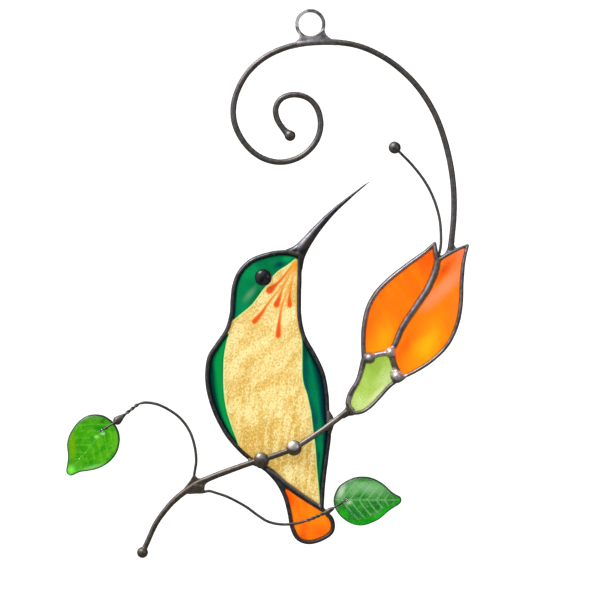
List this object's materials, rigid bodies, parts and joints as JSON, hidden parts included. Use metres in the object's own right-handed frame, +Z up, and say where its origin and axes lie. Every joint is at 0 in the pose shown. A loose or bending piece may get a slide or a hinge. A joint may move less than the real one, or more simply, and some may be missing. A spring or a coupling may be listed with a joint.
{
  "type": "stained glass suncatcher",
  "caption": "Hummingbird in copper-foil stained glass, perched on a soldered wire branch beside an orange flower bud and hung by a ring from a scrolled wire.",
  "frame": {"origin": "the inside top of the hanging ring, where a hook or cord bears", "axes": "+Z up along the height, -Y the front that faces the viewer, +X to the viewer's right"},
  "size_m": [0.1804, 0.0119, 0.247],
  "materials": {
    "solder": "satin",
    "wire": "satin",
    "painted_glass": "gloss",
    "orange_glass": "gloss",
    "lime_glass": "gloss",
    "green_glass": "gloss",
    "black_glass": "gloss"
  },
  "bodies": {
    "root": {"hanging_ring": "solder", "scroll_wire": "wire", "bud_solder": "solder", "left_petal_glass": "orange_glass", "right_petal_glass": "orange_glass", "calyx_glass": "lime_glass", "stamen_wire": "wire", "branch_wire": "wire", "bird_solder": "solder", "bird_body_glass": "painted_glass", "bird_tail_glass": "orange_glass", "bird_eye": "black_glass", "bird_beak": "solder", "left_leaf_stem": "wire", "left_leaf_glass": "green_glass", "right_leaf_stem": "wire", "right_leaf_glass": "green_glass"}
  },
  "joints": []
}
